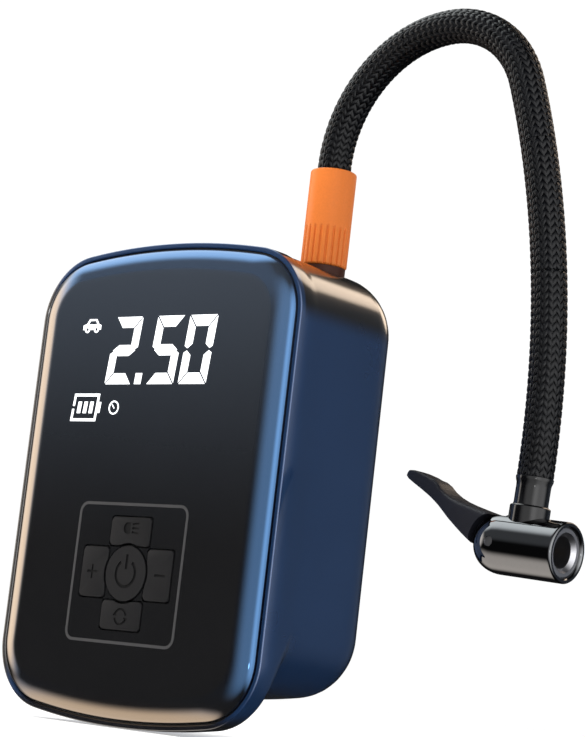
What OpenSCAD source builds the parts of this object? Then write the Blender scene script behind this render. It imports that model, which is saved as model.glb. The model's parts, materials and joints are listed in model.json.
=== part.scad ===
// Portable tire inflator: battery powered pump in a hand-sized housing, with a glossy front
// cover, a keypad, and a braided hose that ends in a lever-locked valve chuck.
// Millimetres. +X right, +Y out of the flat back, +Z up. The origin is the centre of the back face.

/* [Housing] */
// Width of the housing over its front lip
case_w = 95.5; // [94:0.5:97]
// Height of the housing over its front lip
case_h = 130; // [129:0.5:132]
// Depth from the flat back to the front face of the cover
case_d = 50.2; // [50:0.1:50.6]
// Corner radius of the front outline
corner_r = 18.5; // [17.5:0.5:19]
// Radius of the shallow arch of the top and bottom edges
arch_r = 215; // [190:5:260]
// Wall thickness of the rear housing
wall = 2.2; // [2:0.1:2.4]
// Radius of the rounding round the back edges
back_round = 13; // [12:0.5:13.5]

/* [Front cover] */
// Gap between the cover and the housing lip
seam = 0.35; // [0.3:0.05:0.5]
// Depth of the cover's rounded edge
cover_t = 3.7; // [3.5:0.1:3.8]
// Width of the cover's rounded edge
cover_round = 7.5; // [6:0.5:9]

/* [Display] */
// Height of a lit digit
digit_h = 18.5; // [16:0.5:19]
// Width of a lit digit
digit_w = 10; // [9:0.1:10.2]
// Height of the digits' base line above the housing centre
digit_z = 25.8; // [24:0.2:27]

/* [Keypad] */
// Width of the raised line round the keypad
pad_w = 40.2; // [39:0.2:41]
// Height of the raised line round the keypad
pad_h = 37.4; // [36:0.2:38]
// Height of the keypad centre
pad_z = -24.9; // [-26:0.1:-24]
// Radius of the round power button
power_r = 7.3; // [7:0.1:7.6]
// Travel of a button
button_travel = 0.6; // [0.4:0.1:0.7]

/* [Air outlet] */
// Distance of the outlet to the right of the centre
outlet_x = 29.6; // [28:0.2:30]
// Depth of the outlet axis in front of the back face
outlet_y = -19.5; // [-20:0.1:-19]
// Outside diameter of the hose collar
collar_d = 12.6; // [12.2:0.1:12.8]
// Height of the hose collar
collar_h = 26.5; // [26:0.5:27]

/* [Hose] */
// Outside diameter of the braided hose
hose_d = 9.2; // [8.8:0.1:9.3]
// Radius of the first bend, from upright to level
bend_a_r = 36.2; // [34:0.2:38]
// Radius of the tighter second bend
bend_b_r = 26.6; // [25:0.2:28]
// Radius of the long last bend
bend_c_r = 250; // [240:5:260]

/* [Chuck] */
// Outside diameter of the valve chuck
chuck_d = 15; // [14.8:0.1:15.4]
// Length of the valve chuck
chuck_l = 26; // [25.5:0.5:27]
// Radius of the bore that takes the tyre valve
valve_r = 3.95; // [3.9:0.01:4]

/* [Pump] */
// Radius of the crank
crank_r = 4; // [3.5:0.25:4]

/* [Hidden] */

gap = 0.05;            // clearance between parts that touch
run = 0.06;            // radial clearance of a running fit
layer_t = 0.02;        // thickness of the slices that a rounded shell is hulled from
lip_t = 1.4;           // thickness of the housing's front lip
seam_y = -case_d + cover_t;
lip_y = seam_y - 0.7;  // front edge of the housing lip
ledge_y = seam_y + 5;  // step behind the lip that the frame and gasket sit on
cover_w = case_w - 2 * (lip_t + seam);
cover_h = case_h - 2 * (lip_t + seam);
cover_r = corner_r - lip_t - seam;
cover_wall = 1.6;      // thickness of the cover's flat face
face_y = -case_d;
body_w = case_w - 3.5; // width of the housing near its back
body_top = case_h / 2 - 0.9;
body_bottom = -54.4;   // underside of the housing behind the lip
body_r = 17;

// --- Outlines ---------------------------------------------------------------

// Right half of an arched, round-cornered outline, from the top centre to the bottom centre.
function half_outline(w, h, r, big, n) =
    let (lean = asin((w / 2 - r) / (big - r)),
         cz = h / 2 - big + (big - r) * cos(lean),
         top = [for (i = [0:n]) let (a = 90 - lean * i / n)
                [big * cos(a), h / 2 - big + big * sin(a)]],
         corner = [for (i = [1:n]) let (a = (90 - lean) * (1 - i / n))
                   [w / 2 - r + r * cos(a), cz + r * sin(a)]],
         upper = concat(top, corner))
    concat(upper, [for (i = [len(upper) - 1:-1:1]) [upper[i][0], -upper[i][1]]]);

// Whole outline: the right half and its mirror image.
function outline(w, h, r, big = arch_r, n = 8) =
    let (half = half_outline(w, h, r, big, n))
    concat([[0, h / 2]], [for (i = [1:len(half) - 1]) half[i]],
           [[0, -h / 2]], [for (i = [len(half) - 1:-1:1]) [-half[i][0], half[i][1]]]);

// Flat slice in the X-Z plane whose back face is at y, t thick towards the front.
module slice(y, t) {
    translate([0, y, 0]) rotate([90, 0, 0]) linear_extrude(t) children();
}

// Slice of an outline between heights bottom and top, all drawn in by inset.
module ring_slice(y, t, w, bottom, top, r, inset = 0, n = 8) {
    slice(y, t) translate([0, (top + bottom) / 2])
        polygon(outline(w - 2 * inset, top - bottom - 2 * inset, r - inset, arch_r - inset, n));
}

module along_x(x, y, z, len, r) {
    translate([x, y, z]) rotate([0, 90, 0]) cylinder(h = len, r = r, $fn = 48);
}

module along_y(x, y, z, len, r) {
    translate([x, y, z]) rotate([-90, 0, 0]) cylinder(h = len, r = r, $fn = 48);
}

module along_z(x, y, z, len, r) {
    translate([x, y, z]) cylinder(h = len, r = r, $fn = 48);
}

// --- Rear housing -----------------------------------------------------------

boss_x = 38.4;
boss_zs = [-44.6, 48];
boss_r = 3.2;
screw_r = 1.25;
usb_z = 20;
usb_y = -20;
usb_w = 9.0;
usb_h = 3.2;
usb_depth = 7.4;
torch_x = -22;
torch_y = -19.5;
torch_r = 5;
port_r = 4;            // thread radius of the outlet port
flange_r = 6.4;        // radius of the outlet port's inner flange
flange_t = 3;
collar_z = case_h / 2 - 1.8;
nut_r = collar_d / 2 - 0.3;
nut_t = 2.6;
lip_back = ledge_y + 1.6;

// Solid rounded body behind the lip, drawn in by inset on every side.
module body_blank(inset, front) {
    round_r = back_round - inset;
    hull() {
        ring_slice(front, layer_t, case_w - 0.6 - 2 * inset, body_bottom - 0.5 + inset,
                   case_h / 2 - 0.5 - inset, body_r + 0.6 - inset);
        for (i = [0:6])
            let (a = 15 * i)
            ring_slice(-back_round + round_r * sin(a) + layer_t, layer_t, body_w - 2 * inset,
                       body_bottom + inset, body_top - inset, body_r - inset,
                       round_r * (1 - cos(a)));
    }
}

module rear_housing() {
    color([0.10, 0.20, 0.36]) difference() {
        union() {
            // front lip
            hull() {
                ring_slice(lip_y + layer_t, layer_t, case_w, -case_h / 2, case_h / 2, corner_r, 0.5);
                ring_slice(lip_y + 0.5, layer_t, case_w, -case_h / 2, case_h / 2, corner_r);
                ring_slice(ledge_y - 0.6, layer_t, case_w - 0.3, -case_h / 2, case_h / 2, corner_r);
                ring_slice(lip_back, layer_t, case_w - 0.5, -case_h / 2 + 3, case_h / 2 - 0.4,
                           corner_r);
            }
            // underside: the lip sweeps up into the body
            hull() {
                ring_slice(lip_back, layer_t, case_w - 0.6, -case_h / 2 + 3, case_h / 2 - 0.5,
                           corner_r);
                ring_slice(lip_back + 1.4, layer_t, case_w - 0.7, body_bottom - 2.4,
                           case_h / 2 - 0.6, corner_r);
            }
            hull() {
                ring_slice(lip_back + 1.4, layer_t, case_w - 0.7, body_bottom - 2.4,
                           case_h / 2 - 0.6, corner_r);
                ring_slice(lip_back + 5, layer_t, case_w - 0.9, body_bottom + 0.2,
                           case_h / 2 - 0.8, body_r);
            }
            body_blank(0, lip_back);
        }
        // recess behind the cover
        ring_slice(ledge_y, 20, case_w, -case_h / 2, case_h / 2, corner_r, lip_t);
        // hollow for the pump, the cells and the boards
        difference() {
            body_blank(wall, ledge_y - 1);
            for (sx = [-1, 1], z = boss_zs)
                along_y(sx * boss_x, ledge_y + 1, z, case_d, boss_r);
        }
        for (sx = [-1, 1], z = boss_zs)
            along_y(sx * boss_x, ledge_y - 1, z, 16, screw_r + gap);
        along_z(outlet_x, outlet_y, body_top - 12, 20, port_r + gap);
        // seat of the port's nut
        along_z(outlet_x, outlet_y, collar_z - nut_t, 20, nut_r + gap);
        along_z(torch_x, torch_y, body_top - 12, 20, torch_r + gap);
        translate([-case_w, usb_y - usb_h / 2 - 0.2, usb_z - usb_w / 2 - 0.2])
            cube([case_w - 38, usb_h + 0.4, usb_w + 0.4]);
    }
}

module case_gasket() {
    color([0.05, 0.05, 0.05]) difference() {
        ring_slice(ledge_y - gap, 0.8, case_w, -case_h / 2, case_h / 2, corner_r, lip_t + 0.2);
        ring_slice(ledge_y + 1, 4, case_w, -case_h / 2, case_h / 2, corner_r, lip_t + 1.8);
    }
}

// --- Front cover, display and keypad ------------------------------------------

button_gap = 0.4;      // gap round a button and between buttons
cross_w = 33;          // span of the four outer buttons, side to side
cross_h = 29.8;        // span of the four outer buttons, top to bottom
arm_w = 14.6;          // width of the top and bottom buttons
arm_h = 13.4;          // height of the side buttons
moat = 0.75;           // ring-shaped gap round the power button
button_proud = 0.25;   // how far a button stands above the cover
button_back = face_y + cover_wall + 0.4;
frame_y = seam_y + 4;  // back face of the inner frame
frame_in = 10;         // width of the inner frame's border
board_t = 1.6;
board_y = ledge_y - 0.4;
mat_y = button_back + button_travel + 0.1;

// Outline of one outer button, centred on the keypad. side is 0 top, 1 left, 2 bottom, 3 right.
module arm_shape(side, grow = 0) {
    upright = side % 2 == 0;
    reach = upright ? cross_h / 2 : cross_w / 2;
    span = upright ? arm_w : arm_h;
    inner = reach - (upright ? 7.6 : 9.3);
    corner = 1.1;
    rotate(90 * side) difference() {
        translate([-span / 2 - grow, inner - grow])
            round_rect(span + 2 * grow, reach - inner + 2 * grow, corner);
        circle(r = power_r + moat - grow, $fn = 96);
    }
}

// Rectangle with its low corner at the origin and rounded corners, all true arcs.
module round_rect(w, h, r) {
    translate([r, 0]) square([w - 2 * r, h]);
    translate([0, r]) square([w, h - 2 * r]);
    for (x = [r, w - r], y = [r, h - r])
        translate([x, y]) circle(r = r, $fn = 32);
}

module on_pad() {
    translate([0, pad_z]) children();
}

module front_plate() {
    color([0.09, 0.10, 0.12]) difference() {
        hull() {
            for (i = [0:6])
                let (a = 15 * i)
                ring_slice(seam_y - cover_t * sin(a) + layer_t, layer_t, cover_w, -cover_h / 2,
                           cover_h / 2, cover_r, cover_round * (1 - cos(a)));
        }
        // hollow behind the flat face
        ring_slice(seam_y + 1, cover_t + 1 - cover_wall, cover_w, -cover_h / 2, cover_h / 2,
                   cover_r, 7);
        slice(0, 2 * case_d) on_pad() {
            circle(r = power_r + button_gap, $fn = 96);
            for (side = [0:3]) arm_shape(side, button_gap);
        }
    }
}

module keypad_border() {
    line_w = 0.8;
    color([0.30, 0.30, 0.31]) slice(face_y, 0.12) on_pad() difference() {
        translate([-pad_w / 2, -pad_h / 2]) round_rect(pad_w, pad_h, 3);
        translate([-pad_w / 2 + line_w, -pad_h / 2 + line_w])
            round_rect(pad_w - 2 * line_w, pad_h - 2 * line_w, 3 - line_w);
    }
}

// A button: its cap stands just above the cover and its foot presses the mat.
module button_slice() {
    color([0.15, 0.15, 0.16])
        slice(button_back, button_back - face_y + button_proud) on_pad() children();
}

module power_button() { button_slice() circle(r = power_r, $fn = 96); }
module light_button() { button_slice() arm_shape(0); }
module plus_button() { button_slice() arm_shape(1); }
module mode_button() { button_slice() arm_shape(2); }
module minus_button() { button_slice() arm_shape(3); }

button_spots = [[0, 0], [0, 11], [-12, 0], [0, -11], [12, 0]];
mat_t = 0.7;
switch_y = board_y - board_t;

module keypad_mat() {
    color([0.2, 0.2, 0.2])
        slice(mat_y + mat_t, mat_t) on_pad()
            translate([-18.5, -16.5]) round_rect(37, 33, 3);
}

module tact_switches() {
    color([0.75, 0.75, 0.72])
        for (spot = button_spots)
            translate([spot[0], 0, pad_z + spot[1]]) {
                translate([-3, switch_y - gap - 2.2, -3]) cube([6, 2.2, 6]);
                along_y(0, mat_y + mat_t + gap, 0, switch_y - gap - 2.2 - mat_y - mat_t - gap, 1.7);
            }
}

module main_board() {
    bw = cover_w - 2 * frame_in - 2;
    bh = cover_h - 2 * frame_in - 10;
    color([0.05, 0.30, 0.15]) slice(board_y, board_t)
        translate([-bw / 2, -bh / 2]) round_rect(bw, bh, 4);
}

module display_module() {
    color([0.85, 0.85, 0.82])
        translate([-31, face_y + cover_wall + 0.1, 12])
            cube([58, switch_y - gap - face_y - cover_wall - 0.1, 36]);
}

module pressure_sensor() {
    color([0.15, 0.15, 0.15]) {
        translate([28, board_y + gap, 30]) cube([7, 3, 7]);
        along_y(31.5, board_y + gap + 3, 33.5, 2.5, 1);
    }
}

film_t = 0.08;

// Seven-segment digit: lit is a list of seven flags, in the order
// top, upper right, lower right, bottom, lower left, upper left, middle.
module digit(lit) {
    w = digit_w;
    mid = digit_h / 2;
    thick = 3.0;       // height of a level segment
    wide = 2.6;        // width of an upright segment
    cut = 0.3;         // dark gap between two segments
    module level_bar() {
        polygon([[cut, 0], [w - cut, 0], [w - wide - cut, thick], [wide + cut, thick]]);
    }
    module upright_bar() {
        polygon([[0, cut], [wide, thick + cut], [wide, mid - thick / 2], [0.4 * wide, mid - cut],
                 [0, mid - 0.3 * thick]]);
    }
    module middle_bar() {
        polygon([[cut + 0.5, mid], [wide + cut, mid + thick / 2], [w - wide - cut, mid + thick / 2],
                 [w - cut - 0.5, mid], [w - wide - cut, mid - thick / 2],
                 [wide + cut, mid - thick / 2]]);
    }
    module to_top() { translate([0, digit_h]) mirror([0, 1]) children(); }
    module to_right() { translate([w, 0]) mirror([1, 0]) children(); }
    if (lit[0]) to_top() level_bar();
    if (lit[1]) to_top() to_right() upright_bar();
    if (lit[2]) to_right() upright_bar();
    if (lit[3]) level_bar();
    if (lit[4]) upright_bar();
    if (lit[5]) to_top() upright_bar();
    if (lit[6]) middle_bar();
}

// Lean to the right, about the low corner at (x, z).
module slanted(x, z = digit_z) {
    lean = 5.4;
    translate([x, z])
        multmatrix([[1, tan(lean), 0, 0], [0, 1, 0, 0], [0, 0, 1, 0], [0, 0, 0, 1]])
            children();
}

module display_digits() {
    color([0.95, 0.95, 0.95]) slice(face_y, film_t) {
        slanted(-17.1) digit([1, 1, 0, 1, 1, 0, 1]);
        slanted(-5.9) square([2.4, 3.0]);
        slanted(-1.5) digit([1, 0, 1, 1, 0, 1, 1]);
        slanted(10.3) digit([1, 1, 1, 1, 1, 1, 0]);
    }
}

// Battery outline, open on its left side, with three bars and a terminal.
module battery_icon() {
    w = 9.8;
    h = 7.6;
    line = 0.75;
    difference() {
        square([w, h]);
        translate([line, line]) square([w - 2 * line, h - 2 * line]);
        translate([-1, h / 2 - 0.4]) square([2, 0.8]);
    }
    translate([w - 0.1, h / 2 - 1.5]) square([1.1, 3.0]);
    for (i = [0:2])
        translate([2.0 + 2.3 * i, 2.2]) square([1.3, h - 4.4]);
}

// Small car seen from the side, for the tyre mode.
module car_icon() {
    difference() {
        union() {
            polygon([[0, 0.7], [0, 2.0], [1.2, 2.3], [2.2, 3.7], [5.0, 3.7], [6.0, 2.3],
                     [6.9, 2.0], [6.9, 0.7]]);
            for (x = [1.7, 5.2]) translate([x, 0.8]) circle(r = 0.95, $fn = 24);
        }
        polygon([[1.9, 2.2], [2.6, 3.2], [4.7, 3.2], [5.3, 2.2]]);
        for (x = [1.7, 5.2]) translate([x, 0.8]) circle(r = 0.45, $fn = 24);
    }
}

// Small pressure gauge with a needle.
module gauge_icon() {
    difference() {
        circle(r = 1.9, $fn = 32);
        circle(r = 1.5, $fn = 32);
    }
    rotate(40) translate([-0.16, -0.3]) square([0.32, 1.5]);
}

module display_icons() {
    color([0.9, 0.9, 0.9]) slice(face_y, film_t) {
        slanted(-28.7, 15.6) battery_icon();
        translate([-28.1, 40.3]) car_icon();
        translate([-12.4, 19.4]) gauge_icon();
    }
}

module front_frame() {
    color([0.07, 0.07, 0.08]) difference() {
        ring_slice(frame_y, frame_y - seam_y - gap, case_w, -case_h / 2, case_h / 2, corner_r,
                   lip_t + 0.1);
        ring_slice(frame_y + 1, 20, cover_w, -cover_h / 2, cover_h / 2, cover_r, frame_in);
        for (sx = [-1, 1], z = boss_zs) {
            along_y(sx * boss_x, seam_y - 1, z, 20, screw_r + gap);
            along_y(sx * boss_x, seam_y - 1, z, 2.6, 2.5 + gap);
        }
    }
}

module housing_screws() {
    color([0.6, 0.6, 0.62])
        for (sx = [-1, 1], z = boss_zs) {
            along_y(sx * boss_x, seam_y + 0.2, z, 1.4, 2.5);
            along_y(sx * boss_x, seam_y + 1.6, z, 13, screw_r);
        }
}

// --- Charging port and torch ---------------------------------------------------

usb_x = -case_w / 2 + 1.3;

module usb_port() {
    color([0.7, 0.7, 0.72]) {
        difference() {
            translate([usb_x, usb_y - usb_h / 2, usb_z - usb_w / 2])
                cube([usb_depth, usb_h, usb_w]);
            translate([usb_x - 1, usb_y - usb_h / 2 + 0.3, usb_z - usb_w / 2 + 0.3])
                cube([usb_depth - 0.4 + 1, usb_h - 0.6, usb_w - 0.6]);
        }
        translate([usb_x + 1, usb_y - 0.35, usb_z - 3.3]) cube([usb_depth - 1, 0.7, 6.6]);
    }
}

torch_z = body_top - 0.9;

module torch_lens() {
    color([0.9, 0.92, 0.95]) {
        along_z(torch_x, torch_y, torch_z - 4.2, 4.2, torch_r);
        along_z(torch_x, torch_y, torch_z - 5.4, 1.3, torch_r + 1.2);
    }
}

module torch_led() {
    color([0.95, 0.9, 0.6]) {
        translate([torch_x - 4, torch_y - 4, torch_z - 8]) cube([8, 8, 1.2]);
        along_z(torch_x, torch_y, torch_z - 6.8, 1, 1.8);
    }
}

// --- Battery --------------------------------------------------------------------

cell_r = 9.15;
cell_l = 65;
cell_z = -39.6;
cell_ys = [-31.2, -12.6];

module battery_cells() {
    color([0.20, 0.45, 0.65])
        for (y = cell_ys) {
            along_x(-cell_l / 2, y, cell_z, cell_l - 1.5, cell_r);
            along_x(cell_l / 2 - 1.5, y, cell_z, 1.5, 3);
        }
}

module battery_holder() {
    color([0.12, 0.12, 0.12]) difference() {
        translate([-26, -30, cell_z - 1]) cube([52, 16, 10]);
        for (y = cell_ys) along_x(-40, y, cell_z, 80, cell_r + gap);
    }
}

module cell_straps() {
    color([0.78, 0.76, 0.7]) {
        translate([cell_l / 2 + gap, cell_ys[0] - 4, cell_z - 3])
            cube([0.3, cell_ys[1] - cell_ys[0] + 8, 6]);
        for (y = cell_ys)
            translate([-cell_l / 2 - gap - 0.3, y - 4, cell_z - 3]) cube([0.3, 8, 6]);
    }
}

// --- Motor, gears and pump ----------------------------------------------------------

pump_y = outlet_y;
gear_module = 0.6;
gear_teeth = 44;
pinion_teeth = 12;
motor_r = 13.85;
motor_z = -16;
motor_x0 = -40;
motor_l = 37;
motor_x1 = motor_x0 + motor_l;
shaft_r = 1.15;
gear_c = gear_module * (gear_teeth + pinion_teeth) / 2;
gear_z = motor_z + gear_c;
gear_x = 1.6;
gear_w = 4;
axle_r = 1.6;
pin_r = 1.5;
pin_gap = 0.3;
rod_x = gear_x + gear_w + 1.6;
rod_w = 3.2;
rod_l = 24;
bore_x = rod_x + rod_w / 2;
bore_r = 8;
wrist_z = gear_z + crank_r + rod_l;
crown_z = wrist_z + 6;
barrel_z = 18;
barrel_top = crown_z + 1.6;
frame_x = -1.6;
frame_t = 2;

module motor_can() {
    color([0.62, 0.63, 0.65]) difference() {
        along_x(motor_x0 + 2, pump_y, motor_z, motor_l - 2, motor_r);
        along_x(motor_x0 - 1, pump_y, motor_z, motor_l - 1, motor_r - 1);
        along_x(motor_x1 - 3, pump_y, motor_z, 6, 3);
    }
}

module motor_endcap() {
    color([0.85, 0.85, 0.82]) {
        difference() {
            along_x(motor_x0, pump_y, motor_z, 2 - gap, motor_r);
            along_x(motor_x0 + 1, pump_y, motor_z, 4, shaft_r + run);
        }
        for (side = [-1, 1])
            translate([motor_x0 - 2, pump_y + side * 8 - 1.5, motor_z - 0.25]) cube([2, 3, 0.5]);
    }
}

module motor_rotor() {
    color([0.55, 0.40, 0.25]) {
        along_x(motor_x0 + 1.2, pump_y, motor_z, gear_x + gear_w - motor_x0 - 1.2, shaft_r);
        along_x(motor_x0 + 7, pump_y, motor_z, motor_l - 12, 9.5);
        along_x(motor_x0 + 3.2, pump_y, motor_z, 3.4, 3.6);
    }
}

// Flat toothed disc in the X-Y plane, with one tooth centred on the +X axis.
module toothed(teeth, w) {
    pitch_r = gear_module * teeth / 2;
    root_r = pitch_r - 1.25 * gear_module;
    tip_r = pitch_r + 0.8 * gear_module;
    step = 360 / teeth;
    root_half = 0.26 * step;
    tip_half = 0.09 * step;
    linear_extrude(w) polygon([for (i = [0:teeth - 1])
        for (corner = [[root_r, -root_half], [tip_r, -tip_half],
                       [tip_r, tip_half], [root_r, root_half]])
            let (a = i * step + corner[1])
            corner[0] * [cos(a), sin(a)]]);
}

module pinion() {
    color("goldenrod") difference() {
        translate([gear_x, pump_y, motor_z]) rotate([0, 90, 0]) rotate(180 / pinion_teeth)
            toothed(pinion_teeth, gear_w);
        along_x(gear_x - 1, pump_y, motor_z, gear_w + 2, shaft_r + 0.01);
    }
}

module crank_gear() {
    color([0.9, 0.9, 0.86]) difference() {
        union() {
            translate([gear_x, pump_y, gear_z]) rotate([0, 90, 0]) toothed(gear_teeth, gear_w - 1);
            along_x(gear_x + gear_w - 1, pump_y, gear_z, 1, 8.5);
        }
        along_x(gear_x - 1, pump_y, gear_z, gear_w + 2, axle_r + run);
        along_x(gear_x - 1, pump_y, gear_z + crank_r, gear_w + 2, pin_r);
    }
}

module crank_pin() {
    color([0.7, 0.7, 0.72])
        along_x(gear_x + 0.5, pump_y, gear_z + crank_r, rod_x - pin_gap - gear_x - 0.5, pin_r);
}

module gear_axle() {
    color([0.7, 0.7, 0.72]) {
        along_x(frame_x + gap, pump_y, gear_z, gear_x + gear_w - 0.1 - frame_x - gap, axle_r);
        along_x(gear_x - 0.9, pump_y, gear_z, 0.8, axle_r + 1.2);
    }
}

module pump_frame() {
    hole_r = 3.2;
    color([0.75, 0.76, 0.78]) difference() {
        union() {
            translate([frame_x, pump_y - 13, motor_z - 12]) cube([frame_t, 26, barrel_z - motor_z + 12]);
            translate([frame_x, pump_y - 12, barrel_z - 2])
                cube([bore_x + 12 - frame_x, 24, 2 - gap]);
        }
        along_x(frame_x - 1, pump_y, motor_z, frame_t + 2, hole_r);
        along_x(frame_x - 1, pump_y, gear_z, frame_t + 2, axle_r + gap);
        along_z(bore_x, pump_y, barrel_z - 4, 6, bore_r + 0.6);
        for (side = [-1, 1])
            along_x(frame_x - 1, pump_y + side * 8, motor_z, frame_t + 2, screw_r + gap);
    }
}

module frame_screws() {
    color([0.6, 0.6, 0.62])
        for (side = [-1, 1])
            along_x(frame_x + frame_t + gap, pump_y + side * 8, motor_z, 0.9, 2);
}

module connecting_rod() {
    color([0.25, 0.25, 0.27]) difference() {
        union() {
            for (z = [gear_z + crank_r, wrist_z])
                along_x(rod_x, pump_y, z, rod_w, 3);
            translate([rod_x, pump_y - 1.6, gear_z + crank_r]) cube([rod_w, 3.2, rod_l]);
        }
        along_x(rod_x - 1, pump_y, gear_z + crank_r, rod_w + 2, pin_r + run);
        along_x(rod_x - 1, pump_y, wrist_z, rod_w + 2, pin_r + run);
    }
}

module wrist_pin() {
    color([0.7, 0.7, 0.72]) along_x(bore_x - 6, pump_y, wrist_z, 12, pin_r);
}

module piston() {
    color([0.8, 0.8, 0.8]) difference() {
        along_z(bore_x, pump_y, wrist_z - 4, crown_z - wrist_z + 4, bore_r - 0.25);
        // slot for the rod
        translate([rod_x - 0.4, pump_y - 6.4, wrist_z - 5]) cube([rod_w + 0.8, 12.8, 8.6]);
        along_x(bore_x - 10, pump_y, wrist_z, 20, pin_r + 0.01);
        // groove for the seal
        difference() {
            along_z(bore_x, pump_y, crown_z - 2, 1.2, bore_r + 1);
            along_z(bore_x, pump_y, crown_z - 3, 3, bore_r - 1.2);
        }
    }
}

module piston_seal() {
    color([0.1, 0.1, 0.1]) difference() {
        along_z(bore_x, pump_y, crown_z - 1.95, 1.1, bore_r - run);
        along_z(bore_x, pump_y, crown_z - 3, 3, bore_r - 1.15);
    }
}

module cylinder_fins(z0, z1) {
    count = 5;
    for (i = [0:count - 1])
        along_z(bore_x, pump_y, z0 + (z1 - z0 - 1) * i / (count - 1), 1, bore_r + 3.2);
}

module pump_cylinder() {
    color([0.7, 0.71, 0.73]) difference() {
        union() {
            along_z(bore_x, pump_y, barrel_z, barrel_top - barrel_z, bore_r + 1.4);
            cylinder_fins(barrel_z, barrel_top);
        }
        along_z(bore_x, pump_y, barrel_z - 1, barrel_top - barrel_z + 2, bore_r);
    }
}

head_t = 5;
head_z = barrel_top + gap;
barb_z = head_z + head_t / 2;
barb_r = 1.6;
tube_r = 2.6;
tube_bend = 5;
head_screw_pcd = 19.4;

module cylinder_head() {
    color([0.65, 0.66, 0.68]) difference() {
        union() {
            along_z(bore_x, pump_y, head_z, head_t, bore_r + 3.2);
            along_x(bore_x + bore_r, pump_y, barb_z, outlet_x - tube_bend - bore_x - bore_r,
                    barb_r);
        }
        along_x(bore_x, pump_y, barb_z, 40, 0.8);
        along_z(bore_x, pump_y, head_z - 1, head_t / 2 + 1.6, 1.2);
        for (i = [0:3])
            rotate_about(bore_x, pump_y, 45 + 90 * i)
                along_z(head_screw_pcd / 2, 0, head_z - 1, head_t + 2, 0.8);
    }
}

module rotate_about(x, y, a) {
    translate([x, y, 0]) rotate([0, 0, a]) children();
}

module head_screws() {
    color([0.55, 0.55, 0.57])
        for (i = [0:3])
            rotate_about(bore_x, pump_y, 45 + 90 * i)
                along_z(head_screw_pcd / 2, 0, head_z + head_t + gap, 1, 1.4);
}

port_low = body_top - wall - 8;

module air_tube() {
    start_x = bore_x + bore_r + 3.2 + gap;
    color([0.85, 0.85, 0.85]) {
        difference() {
            along_x(start_x, pump_y, barb_z, outlet_x - tube_bend - start_x, tube_r);
            along_x(start_x - 1, pump_y, barb_z, 40, barb_r + gap);
        }
        translate([outlet_x - tube_bend, pump_y, barb_z + tube_bend]) rotate([90, 0, 0])
            rotate([0, 0, -90]) rotate_extrude(angle = 90, $fn = 48)
                translate([tube_bend, 0]) difference() {
                    circle(r = tube_r, $fn = 32);
                    circle(r = barb_r, $fn = 32);
                }
        difference() {
            along_z(outlet_x, pump_y, barb_z + tube_bend, port_low - gap - barb_z - tube_bend,
                    tube_r);
            along_z(outlet_x, pump_y, barb_z, 40, barb_r + gap);
        }
    }
}

// --- Outlet port and hose collar ----------------------------------------------------

collar_top = collar_z + collar_h;
collar_r = collar_d / 2;
port_top = collar_z + 5.4;
hose_r = hose_d / 2;
fit_flange_z = port_top + 1.2;
fit_flange_t = 1.8;
fit_flange_r = 3.8;
neck_r = 2.0;
stub_z = collar_z + 12;   // lower end of the hose inside the collar

module outlet_port() {
    color([0.72, 0.56, 0.26]) difference() {
        union() {
            along_z(outlet_x, outlet_y, port_low, flange_t, flange_r);
            along_z(outlet_x, outlet_y, port_low + flange_t / 2,
                    port_top - port_low - flange_t / 2, port_r);
            along_z(outlet_x, outlet_y, port_low - 5, 5.1, barb_r);
        }
        along_z(outlet_x, outlet_y, port_low - 8, 60, 0.9);
    }
}

// Round nut that holds the port in the housing and seats the collar.
module port_nut() {
    color([0.13, 0.13, 0.14]) difference() {
        along_z(outlet_x, outlet_y, collar_z - nut_t + gap, nut_t - 0.2, nut_r);
        along_z(outlet_x, outlet_y, collar_z - nut_t - 1, nut_t + 2, port_r + gap);
    }
}

module port_seal() {
    color([0.1, 0.1, 0.1]) translate([outlet_x, outlet_y, port_top + 0.55])
        rotate_extrude($fn = 48) translate([2.2, 0]) circle(r = 0.5, $fn = 24);
}

module hose_fitting() {
    color([0.72, 0.56, 0.26]) difference() {
        union() {
            along_z(outlet_x, outlet_y, fit_flange_z, fit_flange_t, fit_flange_r);
            along_z(outlet_x, outlet_y, fit_flange_z, collar_top - 6 - fit_flange_z, neck_r);
        }
        along_z(outlet_x, outlet_y, fit_flange_z - 1, 60, 0.9);
    }
}

rib_count = 22;
rib_h = 10.8;

module hose_collar() {
    color([0.92, 0.48, 0.16]) difference() {
        union() {
            along_z(outlet_x, outlet_y, collar_z + 0.6, collar_h - 1.2, collar_r);
            for (end = [0, 1])
                translate([outlet_x, outlet_y, end == 0 ? collar_z : collar_top - 0.6])
                    cylinder(h = 0.6, r1 = collar_r - 0.6 * (1 - end), r2 = collar_r - 0.6 * end,
                             $fn = 64);
        }
        // thread bore, shoulder over the fitting's flange, and bore for the hose
        along_z(outlet_x, outlet_y, collar_z - 1, fit_flange_z + fit_flange_t + 0.1 - collar_z + 1,
                port_r + 0.08);
        along_z(outlet_x, outlet_y, collar_z, collar_h + 1, neck_r + 0.3);
        along_z(outlet_x, outlet_y, stub_z - 0.3, collar_h, hose_r + 0.1);
        // grip grooves
        for (i = [0:rib_count - 1])
            rotate_about(outlet_x, outlet_y, 360 * i / rib_count)
                along_z(collar_r + 0.25, 0, collar_z - 1, rib_h + 1, 0.62);
    }
}

// --- Hose: a chain of links that turn on balls --------------------------------------------

// The hose's centre line lies in the plane y = outlet_y. A heading of 0 is up and 90 is to the right.
function arc_end(p, heading, r, turn) =
    p + r * [cos(heading) - cos(heading + turn), sin(heading + turn) - sin(heading)];

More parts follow.
